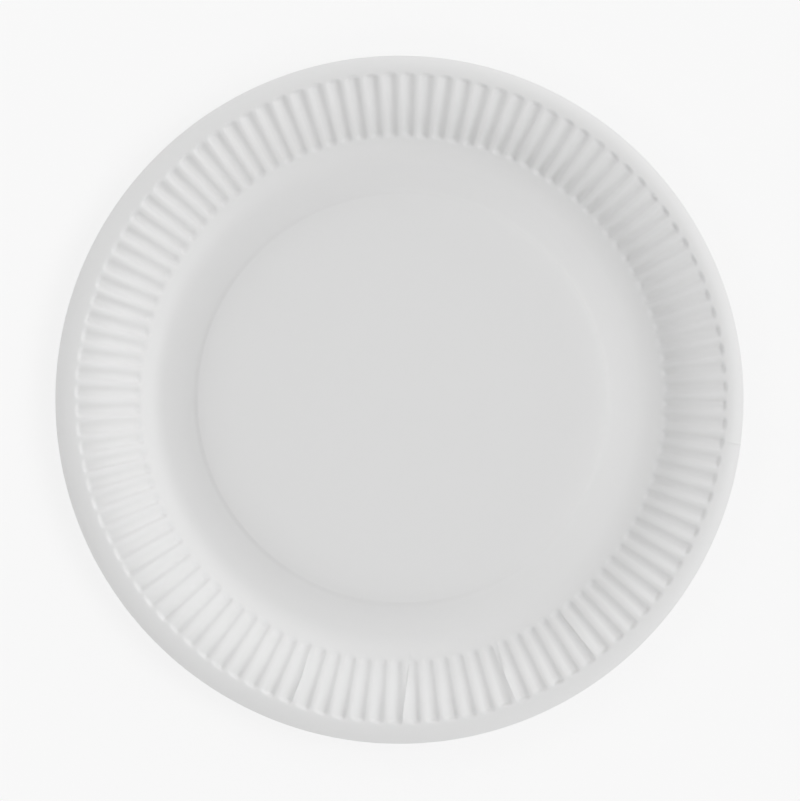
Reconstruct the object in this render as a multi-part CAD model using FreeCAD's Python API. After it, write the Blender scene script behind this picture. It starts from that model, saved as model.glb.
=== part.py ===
import FreeCAD, Part

import math
import os

from FreeCAD import Vector

# A round paper plate: one sheet of board pressed between two dies. From the middle outwards it has a
# raised panel with a rolled edge, a step, a ring that slopes down to the narrow foot, a bend up into a
# steep wall, a band of radial flutes that runs up the wall and over the brow, and a smooth lip that
# curls down to the cut edge. Lengths are in millimetres and angles in degrees. A bend radius is that of
# the sheet's upper face.

# The sheet, a round blank
PLATE_DIAMETER = 230.0
BOARD_THICKNESS = 0.45

# The dies close a little off the middle of the blank, so the lip is wider on one side.
DIE_OFFSET_X = 0.91
DIE_OFFSET_Y = 0.49

# The middle of the plate, from the foot that it stands on inwards: each width is along the radius, and
# each rise is how far the stretch climbs towards the panel
FOOT_WIDTH = 1.4
RING_WIDTH = 8.5
RING_RISE = 1.0
STEP_WIDTH = 2.6
STEP_RISE = 0.8
PANEL_EDGE_WIDTH = 11.6
PANEL_EDGE_RISE = 0.7

# The wall, the brow that turns it over to level, and the lip
FOOT_BEND_RADIUS = 11.2
WALL_ANGLE = 50.0
WALL_WIDTH = 2.6
BROW_RADIUS = 22.6
LIP_WIDTH = 5.4
LIP_EDGE_ANGLE = 42.0

# The flutes: channels pressed down into the sheet, with flat-topped ridges left between them. They
# begin where the foot bend has climbed to the inner tip's angle and end where the brow has levelled out.
# A share is a share of one flute's pitch.
FLUTE_COUNT = 108
FLUTE_DEPTH = 1.3
RIDGE_SHARE = 0.27
CHANNEL_FLOOR_SHARE = 0.27
FIRST_RIDGE_ANGLE = 0.45
INNER_TIP_ANGLE = 36.0
OUTER_RAMP_ANGLE = 6.0

# Each bend is this many flats, because every flute is one flat wedge of the plate.
FOOT_ROWS = 2
BROW_ROWS = 3
LIP_ROWS = 3

SEWING_TOLERANCE = 0.001
FLATNESS = 1e-7
AXIS = Vector(0, 0, 1)
CENTRE = Vector(0, 0, 0)

PITCH = 360.0 / FLUTE_COUNT
RIM_TOP_RADIUS = PLATE_DIAMETER / 2 - LIP_WIDTH


def sine(angle):
    return math.sin(math.radians(angle))


def cosine(angle):
    return math.cos(math.radians(angle))


LIP_RADIUS = LIP_WIDTH / sine(LIP_EDGE_ANGLE)

# Where one stretch of the upper face's section passes into the next, as radii and as heights above
# the surface that the foot stands on
BROW_START_RADIUS = RIM_TOP_RADIUS - BROW_RADIUS * sine(WALL_ANGLE)
FOOT_RADIUS = BROW_START_RADIUS - WALL_WIDTH - FOOT_BEND_RADIUS * sine(WALL_ANGLE)
WALL_START_HEIGHT = BOARD_THICKNESS + FOOT_BEND_RADIUS * (1 - cosine(WALL_ANGLE))
BROW_START_HEIGHT = WALL_START_HEIGHT + WALL_WIDTH * math.tan(math.radians(WALL_ANGLE))
RIM_TOP_HEIGHT = BROW_START_HEIGHT + BROW_RADIUS * (1 - cosine(WALL_ANGLE))


class Station:
    """A place along the section: where the upper face is, and how steeply it climbs outwards there."""

    def __init__(self, radius, height, slope):
        self.radius = radius
        self.height = height
        self.slope = slope

    def below(self, depth, azimuth):
        """The point at an azimuth that lies a depth under the upper face, measured square to it."""
        radius = self.radius + depth * sine(self.slope)
        height = self.height - depth * cosine(self.slope)
        return Vector(radius * cosine(azimuth), radius * sine(azimuth), height)


def middle_stations():
    """The corners of the plate's middle, from the foot's outer side in to the level panel."""
    station = Station(FOOT_RADIUS, BOARD_THICKNESS, 0)
    stations = [station]
    stretches = [
        (FOOT_WIDTH, 0),
        (RING_WIDTH, RING_RISE),
        (STEP_WIDTH, STEP_RISE),
        (PANEL_EDGE_WIDTH, PANEL_EDGE_RISE),
    ]
    for width, rise in stretches:
        station = Station(station.radius - width, station.height + rise, 0)
        stations.append(station)
    return stations


def foot_station(slope):
    """The station on the foot bend where the sheet climbs at a slope."""
    radius = FOOT_RADIUS + FOOT_BEND_RADIUS * sine(slope)
    height = BOARD_THICKNESS + FOOT_BEND_RADIUS * (1 - cosine(slope))
    return Station(radius, height, slope)


def brow_station(slope):
    """The station on the brow where the sheet still climbs at a slope."""
    radius = RIM_TOP_RADIUS - BROW_RADIUS * sine(slope)
    height = RIM_TOP_HEIGHT - BROW_RADIUS * (1 - cosine(slope))
    return Station(radius, height, slope)


def lip_station(reach):
    """The station on the lip at a distance out from the rim's top. Past its named width it runs straight."""
    bent_reach = min(reach, LIP_WIDTH)
    fall = math.degrees(math.asin(bent_reach / LIP_RADIUS))
    straight_drop = (reach - bent_reach) * math.tan(math.radians(fall))
    height = RIM_TOP_HEIGHT - LIP_RADIUS * (1 - cosine(fall)) - straight_drop
    return Station(RIM_TOP_RADIUS + reach, height, -fall)


def edge_reach(azimuth):
    """How far out from the rim's top the round blank's edge lies, at an azimuth round the dies' axis."""
    shift_along = DIE_OFFSET_X * cosine(azimuth) + DIE_OFFSET_Y * sine(azimuth)
    shift_across = DIE_OFFSET_X * sine(azimuth) - DIE_OFFSET_Y * cosine(azimuth)
    edge_radius = math.sqrt((PLATE_DIAMETER / 2) ** 2 - shift_across**2) - shift_along
    return edge_radius - RIM_TOP_RADIUS


def line(start, end):
    return Part.LineSegment(start, end).toShape()


def flat(*corners):
    return Part.Face(Part.makePolygon([*corners, corners[0]]))


def strip(near_left, near_right, far_left, far_right):
    """The face between a near and a far edge: flat, or ruled where the two are twisted to each other."""
    normal = (near_right - near_left).cross(far_left - near_left).normalize()
    twist = abs(normal.dot(far_right - near_left))
    if twist < FLATNESS:
        return flat(near_left, near_right, far_right, far_left)
    return Part.makeRuledSurface(line(near_left, near_right), line(far_left, far_right))


def panel_face(depth):
    """The level panel, at one depth under the upper face: a polygon with a corner for every flute."""
    station = middle_stations()[-1]
    azimuths = [FIRST_RIDGE_ANGLE + (flute + 0.5) * PITCH for flute in range(FLUTE_COUNT)]
    return flat(*[station.below(depth, azimuth) for azimuth in azimuths])


def plain_faces(depth):
    """The middle and the foot bend across one flute's pitch, at one depth under the upper face."""
    left = -PITCH / 2
    right = PITCH / 2
    slopes = [INNER_TIP_ANGLE * (row + 1) / FOOT_ROWS for row in range(FOOT_ROWS)]
    stations = middle_stations()[::-1] + [foot_station(slope) for slope in slopes]
    rows = [(station.below(depth, left), station.below(depth, right)) for station in stations]
    return [strip(*near, *far) for near, far in zip(rows, rows[1:])]


def fluted_stations():
    """The stations between the flutes' two ends, where the channels have their full depth."""
    climb = WALL_ANGLE - OUTER_RAMP_ANGLE
    slopes = [WALL_ANGLE - climb * row / BROW_ROWS for row in range(1, BROW_ROWS + 1)]
    return [foot_station(WALL_ANGLE)] + [brow_station(slope) for slope in slopes]


def flute_section(station, depth):
    """One flute's section: its ridge from side to side, its channel's floor, and the next ridge."""
    half_ridge = PITCH * RIDGE_SHARE / 2
    half_floor = PITCH * CHANNEL_FLOOR_SHARE / 2
    return [
        station.below(depth, -half_ridge),
        station.below(depth, half_ridge),
        station.below(depth + FLUTE_DEPTH, PITCH / 2 - half_floor),
        station.below(depth + FLUTE_DEPTH, PITCH / 2 + half_floor),
        station.below(depth, PITCH - half_ridge),
    ]


def flute_end(rim, beside, depth):
    """The end of one ridge and its channel: the ridge widens to the rim, and the channel closes there."""
    ridge_left, ridge_right, floor_left, floor_right, next_ridge = flute_section(beside, depth)
    tip_before = rim.below(depth, -PITCH / 2)
    tip = rim.below(depth, PITCH / 2)
    return [
        strip(tip_before, tip, ridge_left, ridge_right),
        flat(tip, ridge_right, floor_left),
        flat(tip, floor_left, floor_right),
        flat(tip, floor_right, next_ridge),
    ]


def flute_faces(depth):
    """One ridge and the channel beside it, from end to end, at one depth under the upper face."""
    stations = fluted_stations()
    faces = flute_end(foot_station(INNER_TIP_ANGLE), stations[0], depth)
    faces += flute_end(brow_station(0), stations[-1], depth)
    for near, far in zip(stations, stations[1:]):
        inner = flute_section(near, depth)
        outer = flute_section(far, depth)
        for side in range(len(inner) - 1):
            faces.append(strip(inner[side], inner[side + 1], outer[side], outer[side + 1]))
    return faces


def lip_section(azimuth, depth):
    """The lip's points from the top of the rim to the cut edge, at one depth under the upper face."""
    reach = edge_reach(azimuth)
    return [lip_station(reach * row / LIP_ROWS).below(depth, azimuth) for row in range(LIP_ROWS + 1)]


def lip_faces(left, right):
    """The lip between two azimuths: its upper face, its underside and the cut edge between them."""
    faces = []
    cut = []
    for depth in (0, BOARD_THICKNESS):
        rows = list(zip(lip_section(left, depth), lip_section(right, depth)))
        faces += [strip(*near, *far) for near, far in zip(rows, rows[1:])]
        cut += rows[-1]
    return faces + [strip(*cut)]


def wedge_faces(flute):
    """Both sides of one flute's wedge of the plate, from the panel to the cut edge."""
    ridge_azimuth = FIRST_RIDGE_ANGLE + flute * PITCH
    pressed = []
    for depth in (0, BOARD_THICKNESS):
        pressed += plain_faces(depth) + flute_faces(depth)
    for face in pressed:
        face.rotate(CENTRE, AXIS, ridge_azimuth)
    return pressed + lip_faces(ridge_azimuth - PITCH / 2, ridge_azimuth + PITCH / 2)


def plate():
    """The plate, standing on its foot, with the round blank's middle on the Z axis."""
    faces = [panel_face(0), panel_face(BOARD_THICKNESS)]
    for flute in range(FLUTE_COUNT):
        faces += wedge_faces(flute)
    sheet = Part.Compound(faces)
    sheet.sewShape(SEWING_TOLERANCE)
    solid = Part.Solid(sheet.Shells[0])
    if solid.Volume < 0:
        solid.reverse()
    solid.translate(Vector(DIE_OFFSET_X, DIE_OFFSET_Y, 0))
    return solid


os.makedirs("parts", exist_ok=True)
plate().exportStep("parts/plate.step")
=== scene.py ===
"""A round fluted paper plate on a plain pale floor, seen from straight above.

The plate is one sheet of white board, pressed between two dies that closed a little off the middle of
the round blank. The script bends the sheet, presses its flutes, adds the creases that the press left,
finishes the board and sets the studio round it. Lengths are in metres and angles in degrees.
"""

from __future__ import annotations

import logging
import math
import random
from dataclasses import dataclass, field
from enum import Enum
from functools import cached_property

import bmesh
import bpy
from bmesh.types import BMesh, BMVert
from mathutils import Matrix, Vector

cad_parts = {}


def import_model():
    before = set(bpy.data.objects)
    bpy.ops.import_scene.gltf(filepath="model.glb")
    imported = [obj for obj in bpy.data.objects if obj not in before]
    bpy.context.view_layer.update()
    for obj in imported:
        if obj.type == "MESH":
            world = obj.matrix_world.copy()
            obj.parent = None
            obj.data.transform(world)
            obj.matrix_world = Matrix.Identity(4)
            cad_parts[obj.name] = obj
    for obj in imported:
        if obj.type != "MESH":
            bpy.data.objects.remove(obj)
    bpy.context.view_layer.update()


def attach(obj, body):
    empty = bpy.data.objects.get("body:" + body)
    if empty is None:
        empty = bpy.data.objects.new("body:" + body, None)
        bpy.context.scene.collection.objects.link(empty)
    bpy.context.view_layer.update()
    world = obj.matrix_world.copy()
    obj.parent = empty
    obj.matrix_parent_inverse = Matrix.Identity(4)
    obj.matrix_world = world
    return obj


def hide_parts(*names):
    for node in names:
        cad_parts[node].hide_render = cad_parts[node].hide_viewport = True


LOG = logging.getLogger("paper_plate")
MM = 0.001
WHITE = (1.0, 1.0, 1.0, 1.0)

# A stretch whose slope's sine changes by less than this is straight.
STRAIGHT_CHANGE = 1e-9
# A crease fades in and out over one part in this many of its length.
CREASE_FADE_PARTS = 5.0
# A noise's values lie evenly about this one.
NOISE_MIDDLE = 0.5
# A radius times this lies just outside it, so that what is on the radius can be picked.
JUST_OUTSIDE = 1.0001
# The numbers of a Mix node's sockets when it mixes colours
MIX_SHARE = 0
MIX_FIRST = 6
MIX_SECOND = 7
MIX_RESULT = 2


def smooth_share(value: float) -> float:
    """Return 0 below 0, 1 above 1 and an S-curve between."""
    share = min(max(value, 0.0), 1.0)
    return share * share * (3.0 - 2.0 * share)


def turn_between(azimuth: float, other: float) -> float:
    """Return how far one azimuth lies past another, from -180 to 180."""
    return (azimuth - other + 180.0) % 360.0 - 180.0


@dataclass(frozen=True)
class Place:
    """A point on the sheet's section.

    Attributes:
        radius: Distance from the dies' axis.
        height: Height of the upper face above the floor.
        slope: How steeply the sheet climbs outwards, in degrees.
    """

    radius: float
    height: float
    slope: float

    def above(self, azimuth: float, rise: float) -> Vector:
        """Return the point that lies a rise above this place, measured square to the sheet.

        Args:
            azimuth: Where round the dies' axis, in degrees.
            rise: Distance from the upper face, negative for below it.

        Returns:
            The point, with the dies' axis as the Z axis.
        """
        tilt = math.radians(self.slope)
        radius = self.radius - rise * math.sin(tilt)
        height = self.height + rise * math.cos(tilt)
        turn = math.radians(azimuth)
        return Vector((radius * math.cos(turn), radius * math.sin(turn), height))


@dataclass(frozen=True)
class Stretch:
    """A round or straight stretch of the section.

    Attributes:
        width: How far it reaches along the radius.
        end_slope: The slope at its outer end, in degrees. It starts with the slope before it.
        rings: How many rings of faces the mesh has on it.
    """

    width: float
    end_slope: float
    rings: int

    def sine(self, start_slope: float, run: float) -> float:
        """Return the slope's sine at a run along the radius, which changes evenly on an arc."""
        start, end = math.sin(math.radians(start_slope)), math.sin(math.radians(self.end_slope))
        return start + (end - start) * run / self.width

    def climb(self, start_slope: float, run: float) -> float:
        """Find how far the stretch climbs over a run along the radius.

        Args:
            start_slope: The slope before the stretch, in degrees.
            run: The distance along the radius from its start.

        Returns:
            The climb, negative for a fall.
        """
        start = math.radians(start_slope)
        sine = self.sine(start_slope, run)
        change = sine - math.sin(start)
        if abs(change) < STRAIGHT_CHANGE:
            return run * math.tan(start)
        return run * (math.cos(start) - math.sqrt(1.0 - sine * sine)) / change


@dataclass(frozen=True)
class Section:
    """The section of the pressed sheet's upper face, from the middle to the cut edge.

    Attributes:
        plate_radius: The round blank's radius.
        board_thickness: The board's thickness.
        stretches: The stretches of the section, from the flat middle outwards.
    """

    plate_radius: float = 115.0 * MM
    board_thickness: float = 0.45 * MM
    stretches: tuple[Stretch, ...] = (
        Stretch(57.0 * MM, 0.0, 1),
        Stretch(9.2 * MM, -6.0, 2),
        Stretch(2.3 * MM, -12.0, 1),
        Stretch(1.1 * MM, -42.0, 2),
        Stretch(1.1 * MM, -6.0, 1),
        Stretch(9.1 * MM, -6.0, 1),
        Stretch(7.3 * MM, 32.3, 4),
        Stretch(2.6 * MM, 50.0, 7),
        Stretch(2.6 * MM, 50.0, 4),
        Stretch(14.4 * MM, 7.38, 9),
        Stretch(2.9 * MM, 0.0, 7),
        Stretch(5.4 * MM, -42.0, 5),
    )

    @property
    def rim_top_radius(self) -> float:
        """Return the radius at which the rim is highest."""
        return sum(stretch.width for stretch in self.stretches[:-1])

    @cached_property
    def lowest(self) -> float:
        """Return how far the foot lies below the middle, upper face to upper face."""
        slope, height, lowest = 0.0, 0.0, 0.0
        for stretch in self.stretches:
            turning = stretch.end_slope > 0.0 > slope
            if turning:
                to_level = -math.sin(math.radians(slope)) * stretch.width
                to_level /= math.sin(math.radians(stretch.end_slope)) - math.sin(math.radians(slope))
                lowest = height + stretch.climb(slope, to_level)
            height += stretch.climb(slope, stretch.width)
            slope = stretch.end_slope
        return lowest

    def place(self, radius: float) -> Place:
        """Find the upper face at a radius, where no flute is pressed.

        Args:
            radius: Distance from the dies' axis.

        Returns:
            The place on the section, which runs straight on past its last stretch.
        """
        height, slope, start = self.board_thickness - self.lowest, 0.0, 0.0
        for stretch in self.stretches:
            run = radius - start
            if run <= stretch.width:
                sine = stretch.sine(slope, run)
                return Place(radius, height + stretch.climb(slope, run), math.degrees(math.asin(sine)))
            height += stretch.climb(slope, stretch.width)
            slope = stretch.end_slope
            start += stretch.width
        return Place(radius, height + (radius - start) * math.tan(math.radians(slope)), slope)

    def ring_radii(self) -> list[float]:
        """List the radii of the rings that the sheet's mesh has, from the flat middle to the edge.

        Returns:
            The radii.
        """
        radii = [self.stretches[0].width]
        for stretch in self.stretches[1:]:
            start = radii[-1]
            radii += [start + stretch.width * (ring + 1) / stretch.rings for ring in range(stretch.rings)]
        return radii


@dataclass(frozen=True)
class Dies:
    """The dies' place over the round blank.

    Attributes:
        offset_x: How far the dies' axis lies to the right of the blank's middle.
        offset_y: How far it lies behind the middle, which is up in the photograph.
    """

    offset_x: float = 0.91 * MM
    offset_y: float = 0.49 * MM

    def edge_reach(self, section: Section, azimuth: float) -> float:
        """Find how far out from the rim's top the blank's edge lies.

        Args:
            section: The pressed sheet's section.
            azimuth: Where round the dies' axis, in degrees.

        Returns:
            The distance along the radius.
        """
        turn = math.radians(azimuth)
        along = self.offset_x * math.cos(turn) + self.offset_y * math.sin(turn)
        across = self.offset_x * math.sin(turn) - self.offset_y * math.cos(turn)
        edge_radius = math.sqrt(section.plate_radius**2 - across**2) - along
        return edge_radius - section.rim_top_radius


@dataclass
class Flutes:
    """The channels that the dies press down into the wall and the brow.

    Across a channel the sheet falls from the ridge before it, runs level along a narrow floor, and climbs
    to the ridge after it. A share is a share of the pitch, and a lean is how much more of something there
    is at its azimuth than half way between that and the far side.

    Attributes:
        count: How many flutes there are.
        first_ridge: The azimuth of the first ridge.
        ridge_share: How wide a ridge's level top is.
        floor_share: How wide a channel's level floor is.
        columns_per_side: How many columns of the mesh each side of a channel has.
        skew: How much wider a channel's falling side is than an even one, on average.
        skew_swing: How much that changes round the plate.
        skew_azimuth: Where the skew is greatest.
        inner_depth: The channels' depth at their inner ends.
        outer_depth: Their depth at their outer ends.
        swell: How much deeper the inner ends are than that.
        swell_length: The distance over which the swell fades.
        inner_tip_radius: Where the channels start.
        inner_end_length: How long their inner ends are.
        inner_end_lean: How much shorter the inner ends are at the sharp azimuth.
        outer_tip_radius: Where the channels stop.
        outer_end_length: How long their outer ends are.
        inner_lean: The lean of the depth at the inner ends.
        outer_lean: The lean of the depth at the outer ends.
        lean_azimuth: Where the channels are deepest.
        sharp_azimuth: Where the inner ends are sharpest.
        tip_lean: How much nearer the middle the channels stop at the sharp azimuth.
        depth_spread: How much the depth varies from channel to channel.
        end_spread: How much the ends' places vary.
        seed: The start of the random draws.
        depth_shares: Each channel's depth as a share of what the fields above give.
        end_shifts: How far outwards each channel's inner and outer ends are moved.
    """

    count: int = 108
    first_ridge: float = 0.45
    ridge_share: float = 0.12
    floor_share: float = 0.12
    columns_per_side: int = 5
    skew: float = 0.1
    skew_swing: float = 0.14
    skew_azimuth: float = 220.0
    inner_depth: float = 0.95 * MM
    outer_depth: float = 1.6 * MM
    swell: float = 0.25 * MM
    swell_length: float = 2.5 * MM
    inner_tip_radius: float = 87.5 * MM
    inner_end_length: float = 1.7 * MM
    inner_end_lean: float = 0.4 * MM
    outer_tip_radius: float = 109.0 * MM
    outer_end_length: float = 1.5 * MM
    inner_lean: float = 0.3
    outer_lean: float = 0.08
    lean_azimuth: float = 88.0
    sharp_azimuth: float = 30.0
    tip_lean: float = 0.25 * MM
    depth_spread: float = 0.08
    end_spread: float = 0.2 * MM
    seed: int = 11
    depth_shares: list[float] = field(init=False)
    end_shifts: list[tuple[float, float]] = field(init=False)

    def __post_init__(self) -> None:
        """Draw each channel's own depth and the places of its two ends."""
        draw = random.Random(self.seed)
        self.depth_shares = [1.0 + draw.uniform(-1, 1) * self.depth_spread for _ in range(self.count)]
        self.end_shifts = [
            (draw.uniform(-1, 1) * self.end_spread, draw.uniform(-1, 1) * self.end_spread)
            for _ in range(self.count)
        ]

    @property
    def pitch(self) -> float:
        """Return the angle from one ridge to the next."""
        return 360.0 / self.count

    @property
    def columns(self) -> int:
        """Return how many columns of the mesh each flute has, two sides' worth."""
        return 2 * self.columns_per_side

    def sides(self, azimuth: float) -> tuple[float, float]:
        """Find how wide a channel's two sides are: the second is narrower where the press skewed it.

        Args:
            azimuth: Where round the dies' axis, in degrees.

        Returns:
            The shares of the falling side and of the climbing side.
        """
        each = (1.0 - self.ridge_share - self.floor_share) / 2.0
        swing = math.cos(math.radians(azimuth - self.skew_azimuth))
        skew = self.skew + self.skew_swing * swing
        return each * (1.0 + skew), each * (1.0 - skew)

    def column_azimuth(self, azimuth: float) -> float:
        """Move an evenly spaced column of the mesh to where it follows the channel's section.

        Args:
            azimuth: The column's even azimuth, in degrees.

        Returns:
            Its new azimuth.
        """
        number = round(azimuth / self.pitch * self.columns)
        flute, column = divmod(number, self.columns)
        ridge = self.first_ridge + flute * self.pitch
        falling, climbing = self.sides(ridge)
        side, step = divmod(column, self.columns_per_side)
        part = step / (self.columns_per_side - 1)
        share = self.ridge_share / 2.0 + falling * part
        if side == 1:
            share = 1.0 - self.ridge_share / 2.0 - climbing * (1.0 - part)
        return ridge + share * self.pitch

    def _across(self, share: float, ridge_azimuth: float) -> float:
        """Return 0 on a channel's floor and 1 on a ridge, at a share of the pitch past the ridge."""
        falling, climbing = self.sides(ridge_azimuth)
        past_ridge = share - self.ridge_share / 2.0
        before_ridge = 1.0 - self.ridge_share / 2.0 - share
        return max(0.0, 1.0 - past_ridge / falling, 1.0 - before_ridge / climbing)

    def depth(self, radius: float, azimuth: float) -> float:
        """Find how far the channels press the sheet down.

        Args:
            radius: Distance from the dies' axis.
            azimuth: Where round it, in degrees.

        Returns:
            The depth, measured square to the sheet.
        """
        turns = ((azimuth - self.first_ridge) % 360.0) / self.pitch
        channel = int(turns) % self.count
        sharpness = math.cos(math.radians(azimuth - self.sharp_azimuth))
        inner_shift, outer_shift = self.end_shifts[channel]
        inner_length = self.inner_end_length - self.inner_end_lean * sharpness
        inner_start = self.inner_tip_radius + inner_shift + inner_length
        outer_start = self.outer_tip_radius + outer_shift - self.tip_lean * sharpness - self.outer_end_length
        past_inner = max(0.0, inner_start - radius) / inner_length
        past_outer = max(0.0, radius - outer_start) / self.outer_end_length
        across = self._across(turns - int(turns), self.first_ridge + channel * self.pitch)
        outward = math.sqrt(across * across + past_inner**2 + past_outer**2)
        if outward >= 1.0:
            return 0.0
        share = (radius - self.inner_tip_radius) / (self.outer_tip_radius - self.inner_tip_radius)
        share = min(max(share, 0.0), 1.0)
        full = self.inner_depth + (self.outer_depth - self.inner_depth) * share**2
        full += self.swell * math.exp(-(radius - self.inner_tip_radius) / self.swell_length)
        lean = self.inner_lean + (self.outer_lean - self.inner_lean) * share
        full *= 1.0 + lean * math.cos(math.radians(azimuth - self.lean_azimuth))
        return full * self.depth_shares[channel] * (0.5 + 0.5 * math.cos(math.pi * outward))


@dataclass(frozen=True)
class Crease:
    """A thin line that the press folded into the sheet.

    Attributes:
        inner_azimuth: Where it starts, in degrees round the dies' axis.
        outer_azimuth: Where it ends.
        inner_radius: The radius at which it starts.
        outer_radius: The radius at which it ends.
        rise: Its height at the middle, negative for a groove.
        before: How wide its side of the lower azimuth is.
        after: How wide its side of the higher azimuth is.
    """

    inner_azimuth: float
    outer_azimuth: float
    inner_radius: float
    outer_radius: float
    rise: float
    before: float
    after: float

    def azimuth_at(self, radius: float) -> float:
        """Return where the crease is at a radius, its line carried on past its ends."""
        share = (radius - self.inner_radius) / (self.outer_radius - self.inner_radius)
        return self.inner_azimuth + (self.outer_azimuth - self.inner_azimuth) * share

    def lift(self, radius: float, azimuth: float) -> float:
        """Find how far the crease lifts the sheet.

        Args:
            radius: Distance from the dies' axis.
            azimuth: Where round it, in degrees.

        Returns:
            The lift, measured square to the sheet, negative in a groove.
        """
        share = (radius - self.inner_radius) / (self.outer_radius - self.inner_radius)
        if not 0.0 < share < 1.0:
            return 0.0
        across = math.radians(turn_between(azimuth, self.azimuth_at(radius))) * radius
        fade = smooth_share(CREASE_FADE_PARTS * min(share, 1.0 - share))
        width = self.before if across < 0.0 else self.after
        return self.rise * fade * math.exp(-((across / width) ** 2))


@dataclass
class PressMarks:
    """All the creases, and the way the mesh's columns gather at them.

    Attributes:
        creases: The creases.
        gather_width: How far from a crease most of the gathering happens, in degrees.
        gather_reach: How many of those widths it reaches.
        gather_share: How far a column next to a crease moves towards it, as a share of the way.
        nearby: How far in azimuth a crease may start from a column that it moves.
    """

    creases: list[Crease] = field(
        default_factory=lambda: [
            Crease(272.0, 271.8, 86.2 * MM, 90.0 * MM, 0.22 * MM, 0.28 * MM, 0.28 * MM),
            Crease(271.65, 270.7, 88.0 * MM, 99.0 * MM, 0.36 * MM, 0.2 * MM, 0.65 * MM),
            Crease(270.8, 269.95, 96.0 * MM, 108.8 * MM, 0.36 * MM, 0.2 * MM, 0.65 * MM),
            Crease(291.4, 290.25, 87.0 * MM, 99.5 * MM, 0.4 * MM, 0.22 * MM, 0.6 * MM),
            Crease(290.3, 290.65, 96.0 * MM, 108.6 * MM, 0.4 * MM, 0.22 * MM, 0.6 * MM),
            Crease(306.45, 306.85, 88.5 * MM, 108.0 * MM, 0.26 * MM, 0.2 * MM, 0.6 * MM),
            Crease(249.5, 250.3, 88.0 * MM, 101.0 * MM, 0.3 * MM, 0.22 * MM, 0.5 * MM),
            Crease(250.3, 249.85, 97.5 * MM, 108.5 * MM, 0.3 * MM, 0.22 * MM, 0.5 * MM),
            Crease(210.4, 209.8, 101.0 * MM, 109.0 * MM, -0.15 * MM, 0.4 * MM, 0.4 * MM),
            Crease(223.2, 222.8, 101.0 * MM, 109.0 * MM, -0.15 * MM, 0.4 * MM, 0.4 * MM),
            Crease(183.2, 183.1, 88.5 * MM, 105.5 * MM, 0.2 * MM, 0.3 * MM, 0.17 * MM),
            Crease(184.0, 183.9, 88.5 * MM, 105.0 * MM, 0.2 * MM, 0.3 * MM, 0.17 * MM),
            Crease(193.3, 193.1, 92.0 * MM, 104.0 * MM, 0.22 * MM, 0.35 * MM, 0.2 * MM),
            Crease(64.85, 64.25, 90.0 * MM, 106.0 * MM, 0.24 * MM, 0.5 * MM, 0.2 * MM),
            Crease(359.8, 359.45, 88.5 * MM, 107.5 * MM, -0.24 * MM, 0.45 * MM, 0.17 * MM),
            Crease(352.4, 352.2, 109.8 * MM, 115.5 * MM, 0.15 * MM, 0.3 * MM, 0.3 * MM),
        ]
    )
    gather_width: float = 0.9
    gather_reach: float = 3.0
    gather_share: float = 0.78
    nearby: float = 5.0

    def gathered(self, radius: float, azimuth: float) -> float:
        """Move a column of the mesh towards the creases near it.

        Args:
            radius: The vertex's distance from the dies' axis.
            azimuth: The vertex's azimuth, in degrees.

        Returns:
            Its new azimuth.
        """
        for crease in self.creases:
            if abs(turn_between(azimuth, crease.inner_azimuth)) > self.nearby:
                continue
            past = turn_between(azimuth, crease.azimuth_at(radius))
            if abs(past) < self.gather_reach * self.gather_width:
                azimuth -= self.gather_share * past * math.exp(-((past / self.gather_width) ** 2))
        return azimuth

    def lift(self, radius: float, azimuth: float) -> float:
        """Return how far all the creases together lift the sheet."""
        return sum(crease.lift(radius, azimuth) for crease in self.creases)


class Socket:
    """An output socket of a shader node, with arithmetic that adds Math nodes."""

    def __init__(self, shader: Shader, link: bpy.types.NodeSocket) -> None:
        """Keep the socket and the shader that it belongs to.

        Args:
            shader: The shader that the socket's node is in.
            link: The output socket.
        """
        self.shader = shader
        self.link = link

    def _math(self, operation: str, *values: object) -> Socket:
        """Add a Math node.

        Args:
            operation: The node's operation.
            values: Its inputs, in order.

        Returns:
            The node's output.
        """
        inputs = dict(enumerate(values))
        return self.shader.node("ShaderNodeMath", {"operation": operation}, inputs)

    def __add__(self, other: object) -> Socket:
        """Return the sum."""
        return self._math("ADD", self, other)

    __radd__ = __add__

    def __mul__(self, other: object) -> Socket:
        """Return the product."""
        return self._math("MULTIPLY", self, other)

    __rmul__ = __mul__

    def __sub__(self, other: object) -> Socket:
        """Return the difference."""
        return self._math("SUBTRACT", self, other)

    def __rsub__(self, other: object) -> Socket:
        """Return the difference, with this socket taken away."""
        return self._math("SUBTRACT", other, self)


class Shader:
    """A node tree that is built by calls."""

    def __init__(self, tree: bpy.types.NodeTree) -> None:
        """Empty the tree.

        Args:
            tree: The material's or the world's node tree.
        """
        self.tree = tree
        self.tree.nodes.clear()

    def node(self, kind: str, settings: dict, inputs: dict, output: int | str = 0) -> Socket:
        """Add a node.

        Args:
            kind: The node's type name.
            settings: Its own settings, which are set first.
            inputs: Values or sockets for its inputs, by name or number.
            output: The output to return, by name or number.

        Returns:
            The chosen output.
        """
        made = self.tree.nodes.new(kind)
        for name, value in settings.items():
            setattr(made, name, value)
        for name, value in inputs.items():
            if isinstance(value, Socket):
                self.tree.links.new(value.link, made.inputs[name])
            else:
                made.inputs[name].default_value = value
        return Socket(self, made.outputs[output])

    def end(self, kind: str, surface: Socket) -> None:
        """Send a surface to the tree's output node, of the kind given."""
        out = self.tree.nodes.new(kind)
        self.tree.links.new(surface.link, out.inputs["Surface"])


class Lay(Enum):
    """The noises on the board, by about how many marks each has to a metre."""

    FIBRE = 2600.0
    GRAIN = 900.0
    CLOUD = 60.0


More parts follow.
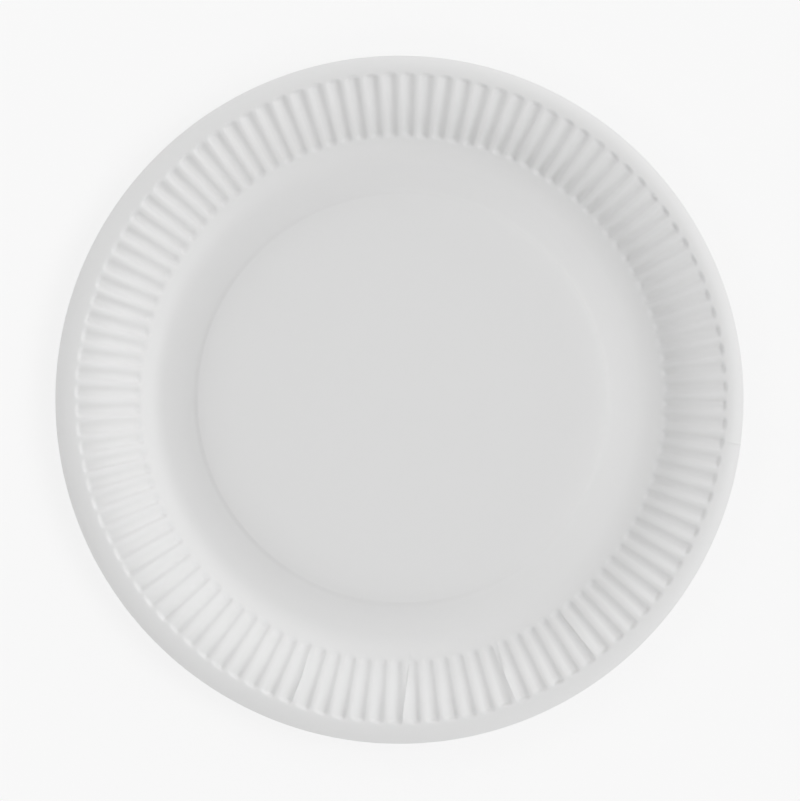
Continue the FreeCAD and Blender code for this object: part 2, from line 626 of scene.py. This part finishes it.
@dataclass(frozen=True)
class BoardFinish:
    """White uncoated board: matt, with fine fibres and a faintly uneven sheet.

    Attributes:
        name: The material's name.
        colour: The board's colour.
        thin_colour: Its colour where the sheet is thinnest.
        roughness: Its roughness on average.
        roughness_spread: How much the grain changes that.
        fibre_height: How high the fibres stand.
        grain_height: How high the grain stands.
        cloud_detail: How many finer layers the cloudy mottling has.
        grain_detail: How many the grain has.
        fibre_detail: How many the fibres have.
    """

    name: str = "white_board"
    colour: tuple[float, float, float, float] = (0.84, 0.84, 0.839, 1.0)
    thin_colour: tuple[float, float, float, float] = (0.833, 0.833, 0.831, 1.0)
    roughness: float = 0.5
    roughness_spread: float = 0.12
    fibre_height: float = 0.006 * MM
    grain_height: float = 0.012 * MM
    cloud_detail: float = 3.0
    grain_detail: float = 4.0
    fibre_detail: float = 2.0

    def material(self) -> bpy.types.Material:
        """Build the material.

        Returns:
            The finished material.
        """
        made = bpy.data.materials.new(self.name)
        made.use_nodes = True
        shader = Shader(made.node_tree)
        place = shader.node("ShaderNodeTexCoord", {}, {}, "Object")
        cloud = self._noise(shader, place, Lay.CLOUD, self.cloud_detail)
        grain = self._noise(shader, place, Lay.GRAIN, self.grain_detail)
        fibre = self._noise(shader, place, Lay.FIBRE, self.fibre_detail)
        mottle = shader.node(
            "ShaderNodeMix",
            {"data_type": "RGBA"},
            {MIX_SHARE: cloud, MIX_FIRST: self.colour, MIX_SECOND: self.thin_colour},
            MIX_RESULT,
        )
        roughness = self.roughness + self.roughness_spread * (grain - NOISE_MIDDLE)
        relief = fibre * self.fibre_height + grain * self.grain_height
        normal = shader.node("ShaderNodeBump", {}, {"Distance": 1.0, "Height": relief})
        surface = shader.node(
            "ShaderNodeBsdfPrincipled",
            {},
            {"Base Color": mottle, "Roughness": roughness, "Normal": normal, "IOR": 1.5},
        )
        shader.end("ShaderNodeOutputMaterial", surface)
        return made

    def _noise(self, shader: Shader, place: Socket, lay: Lay, detail: float) -> Socket:
        """Add a noise over the board.

        Args:
            shader: The material's shader.
            place: The coordinates that it reads.
            lay: Which of the noises it is.
            detail: How many finer layers it has.

        Returns:
            The noise's value.
        """
        inputs = {"Vector": place, "Scale": lay.value, "Detail": detail}
        return shader.node("ShaderNodeTexNoise", {}, inputs)


@dataclass
class PlateSheet:
    """The plate itself: one pressed sheet of board.

    Attributes:
        section: The sheet's section.
        dies: Where the dies closed on the blank.
        flutes: The channels.
        marks: The creases.
        finish: The board's material.
        sharp_angle: How far two faces may turn at an edge that is still shaded smooth, in degrees.
    """

    section: Section = field(default_factory=Section)
    dies: Dies = field(default_factory=Dies)
    flutes: Flutes = field(default_factory=Flutes)
    marks: PressMarks = field(default_factory=PressMarks)
    finish: BoardFinish = field(default_factory=BoardFinish)
    sharp_angle: float = 75.0

    def build(self) -> bpy.types.Object:
        """Build the plate and dress it.

        Returns:
            The plate's object.
        """
        form = bmesh.new()
        self._spin_section(form)
        for vert in form.verts:
            self._press(vert)
        bmesh.ops.translate(form, vec=(self.dies.offset_x, self.dies.offset_y, 0.0), verts=form.verts)
        bmesh.ops.solidify(form, geom=form.faces[:], thickness=self.section.board_thickness)
        for face in form.faces:
            face.smooth = True
        for edge in form.edges:
            edge.smooth = edge.calc_face_angle(0.0) < math.radians(self.sharp_angle)
        mesh = bpy.data.meshes.new("pressed_sheet")
        form.to_mesh(mesh)
        form.free()
        mesh.materials.append(self.finish.material())
        sheet = bpy.data.objects.new("pressed_sheet", mesh)
        bpy.context.scene.collection.objects.link(sheet)
        return sheet

    def _spin_section(self, form: BMesh) -> None:
        """Turn the section once round the dies' axis and close the flat middle.

        Args:
            form: The empty bmesh that takes the sheet.
        """
        places = [self.section.place(radius) for radius in self.section.ring_radii()]
        line = [form.verts.new(place.above(0.0, 0.0)) for place in places]
        edges = [form.edges.new(pair) for pair in zip(line, line[1:])]
        steps = self.flutes.count * self.flutes.columns
        bmesh.ops.spin(
            form,
            geom=line + edges,
            cent=(0.0, 0.0, 0.0),
            axis=(0.0, 0.0, 1.0),
            angle=math.tau,
            steps=steps,
            use_merge=True,
        )
        inner = places[0].radius * JUST_OUTSIDE
        rim = [edge for edge in form.edges if edge.is_boundary and edge.verts[0].co.xy.length < inner]
        bmesh.ops.contextual_create(form, geom=rim)
        bmesh.ops.recalc_face_normals(form, faces=form.faces)
        if sum(face.normal.z for face in form.faces) < 0.0:
            bmesh.ops.reverse_faces(form, faces=form.faces)

    def _press(self, vert: BMVert) -> None:
        """Move a vertex of the plain turned sheet to where the press leaves it.

        Args:
            vert: A vertex, with the dies' axis as the Z axis.
        """
        radius = vert.co.xy.length
        azimuth = math.degrees(math.atan2(vert.co.y, vert.co.x)) % 360.0
        azimuth = self.marks.gathered(radius, self.flutes.column_azimuth(azimuth))
        rim_top = self.section.rim_top_radius
        if radius > rim_top:
            share = (radius - rim_top) / (self.section.plate_radius - rim_top)
            radius = rim_top + share * self.dies.edge_reach(self.section, azimuth)
        rise = self.marks.lift(radius, azimuth) - self.flutes.depth(radius, azimuth)
        vert.co = self.section.place(radius).above(azimuth, rise)


@dataclass(frozen=True)
class SoftLamp:
    """A wide soft lamp, far enough off to light the whole plate alike.

    Attributes:
        name: What the lamp is called.
        azimuth: Where it stands round the plate, in degrees.
        elevation: How high it stands, in degrees.
        strength: The sun lamp's strength, in watts per square metre.
        spread: How wide it looks from the plate, in degrees.
    """

    name: str
    azimuth: float
    elevation: float
    strength: float
    spread: float

    def build(self) -> None:
        """Hang the lamp."""
        data = bpy.data.lights.new(self.name, "SUN")
        data.energy = self.strength
        data.angle = math.radians(self.spread)
        lamp = bpy.data.objects.new(self.name, data)
        bpy.context.scene.collection.objects.link(lamp)
        turn, climb = math.radians(self.azimuth), math.radians(self.elevation)
        lamp.rotation_mode = "QUATERNION"
        level = math.cos(climb)
        outward = Vector((math.cos(turn) * level, math.sin(turn) * level, math.sin(climb)))
        lamp.rotation_quaternion = outward.to_track_quat("Z", "Y")


@dataclass
class Studio:
    """The floor, the light and the camera.

    Attributes:
        backdrop: How bright the camera sees the backdrop, where 1 is white.
        floor_glow: How bright it sees the floor, before the shadow's share.
        floor_colour: The floor's own colour.
        floor_radius: The floor's radius.
        floor_segments: How many corners the floor has.
        floor_shadow_share: How much of the floor's picture is its own lit colour, with the shadow.
        low_glow: The sky's strength everywhere below the band's upper end.
        horizon_glow: What the sky adds to that at the horizon.
        horizon_fade: The sines of elevation between which the horizon's glow fades.
        band_glow: What the sky's bright band adds.
        band_low: The sines of elevation between which the band begins.
        band_high: The sines of elevation between which the band ends.
        lamps: The soft lamps.
        camera_height: The camera's height above the floor.
        photo_height: The photograph's height in pixels.
        photo_plate_radius: The plate's radius in the photograph, in pixels.
        photo_plate_centre: The plate's middle in the photograph, in pixels from the top left.
        photo_centre: The photograph's own middle.
        sensor: The sensor's width in millimetres.
    """

    backdrop: float = 0.939
    floor_glow: float = 0.976
    floor_colour: tuple[float, float, float, float] = (0.9, 0.9, 0.9, 1.0)
    floor_radius: float = 4.0
    floor_segments: int = 96
    floor_shadow_share: float = 0.15
    low_glow: float = 0.13
    horizon_glow: float = 0.88
    horizon_fade: tuple[float, float] = (0.24, 0.38)
    band_glow: float = 0.99
    band_low: tuple[float, float] = (0.56, 0.64)
    band_high: tuple[float, float] = (0.8, 0.9)
    lamps: tuple[SoftLamp, ...] = (
        SoftLamp("key", 5.0, 57.0, 0.8, 30.0),
        SoftLamp("right", 57.0, 14.0, 0.5, 44.0),
        SoftLamp("left", 165.0, 14.0, 0.26, 44.0),
        SoftLamp("front", 308.0, 34.0, 0.15, 40.0),
    )
    camera_height: float = 1.5
    photo_height: int = 801
    photo_plate_radius: float = 344.07
    photo_plate_centre: tuple[float, float] = (399.26, 399.80)
    photo_centre: tuple[float, float] = (400.0, 400.5)
    sensor: float = 36.0

    def build(self, section: Section) -> None:
        """Set up the floor, the world, the lamps and the camera.

        Args:
            section: The plate's section, which gives the size and height of its edge.
        """
        self._floor()
        self._world()
        for lamp in self.lamps:
            lamp.build()
        self._camera(section)
        bpy.context.scene.view_settings.view_transform = "Standard"

    def _floor(self) -> None:
        """Lay a pale round floor that keeps a faint shadow of the plate."""
        form = bmesh.new()
        bmesh.ops.create_circle(form, cap_ends=True, segments=self.floor_segments, radius=self.floor_radius)
        mesh = bpy.data.meshes.new("floor")
        form.to_mesh(mesh)
        form.free()
        made = bpy.data.materials.new("pale_floor")
        made.use_nodes = True
        shader = Shader(made.node_tree)
        matt = shader.node("ShaderNodeBsdfDiffuse", {}, {"Color": self.floor_colour})
        glow = shader.node("ShaderNodeEmission", {}, {"Color": WHITE, "Strength": self.floor_glow})
        seen = shader.node("ShaderNodeLightPath", {}, {}, "Is Camera Ray")
        share = seen * (1.0 - self.floor_shadow_share)
        surface = shader.node("ShaderNodeMixShader", {}, {0: share, 1: matt, 2: glow})
        shader.end("ShaderNodeOutputMaterial", surface)
        mesh.materials.append(made)
        floor = bpy.data.objects.new("floor", mesh)
        bpy.context.scene.collection.objects.link(floor)

    def _world(self) -> None:
        """Light the plate from a bright band half way up and a glow at the horizon, dark overhead.

        The camera hangs where the sky is dark, and sees a plain pale backdrop instead of the sky.
        """
        world = bpy.data.worlds.new("studio")
        bpy.context.scene.world = world
        world.use_nodes = True
        shader = Shader(world.node_tree)
        place = shader.node("ShaderNodeTexCoord", {}, {}, "Generated")
        height = shader.node("ShaderNodeSeparateXYZ", {}, {"Vector": place}, "Z")
        horizon = (1.0 - self._rise(shader, height, self.horizon_fade)) * self.horizon_glow
        over_band = self._rise(shader, height, self.band_high)
        band = self._rise(shader, height, self.band_low) * (1.0 - over_band) * self.band_glow
        low = (1.0 - over_band) * self.low_glow
        sky = shader.node("ShaderNodeBackground", {}, {"Color": WHITE, "Strength": horizon + band + low})
        plain = shader.node("ShaderNodeBackground", {}, {"Color": WHITE, "Strength": self.backdrop})
        seen = shader.node("ShaderNodeLightPath", {}, {}, "Is Camera Ray")
        surface = shader.node("ShaderNodeMixShader", {}, {0: seen, 1: sky, 2: plain})
        shader.end("ShaderNodeOutputWorld", surface)

    def _rise(self, shader: Shader, value: Socket, ends: tuple[float, float]) -> Socket:
        """Add a smooth rise from 0 to 1 between two values.

        Args:
            shader: The world's shader.
            value: What it rises over.
            ends: Where the rise starts and ends.

        Returns:
            The risen share.
        """
        inputs = {"Value": value, "From Min": ends[0], "From Max": ends[1]}
        return shader.node("ShaderNodeMapRange", {"interpolation_type": "SMOOTHSTEP"}, inputs)

    def _camera(self, section: Section) -> None:
        """Hang the camera straight above, so that the plate's edge fills the photograph's circle.

        Args:
            section: The plate's section.
        """
        edge_height = section.place(section.plate_radius).height
        pixels_per_metre = self.photo_plate_radius / section.plate_radius
        focal_pixels = pixels_per_metre * (self.camera_height - edge_height)
        data = bpy.data.cameras.new("camera")
        data.sensor_width = self.sensor
        data.lens = focal_pixels / self.photo_height * self.sensor
        camera = bpy.data.objects.new("camera", data)
        bpy.context.scene.collection.objects.link(camera)
        across = (self.photo_centre[0] - self.photo_plate_centre[0]) / pixels_per_metre
        down = (self.photo_centre[1] - self.photo_plate_centre[1]) / pixels_per_metre
        camera.location = (across, -down, self.camera_height)
        bpy.context.scene.camera = camera


def main() -> None:
    """Build the plate on its frame and the studio round it, and log the plate's face count."""
    logging.basicConfig(level=logging.INFO, format="%(name)s: %(message)s")
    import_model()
    plate = PlateSheet()
    sheet = plate.build()
    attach(sheet, "root")
    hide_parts("plate")
    LOG.info("%s: %d faces", sheet.name, len(sheet.data.polygons))
    Studio().build(plate.section)


if __name__ == "__main__":
    main()
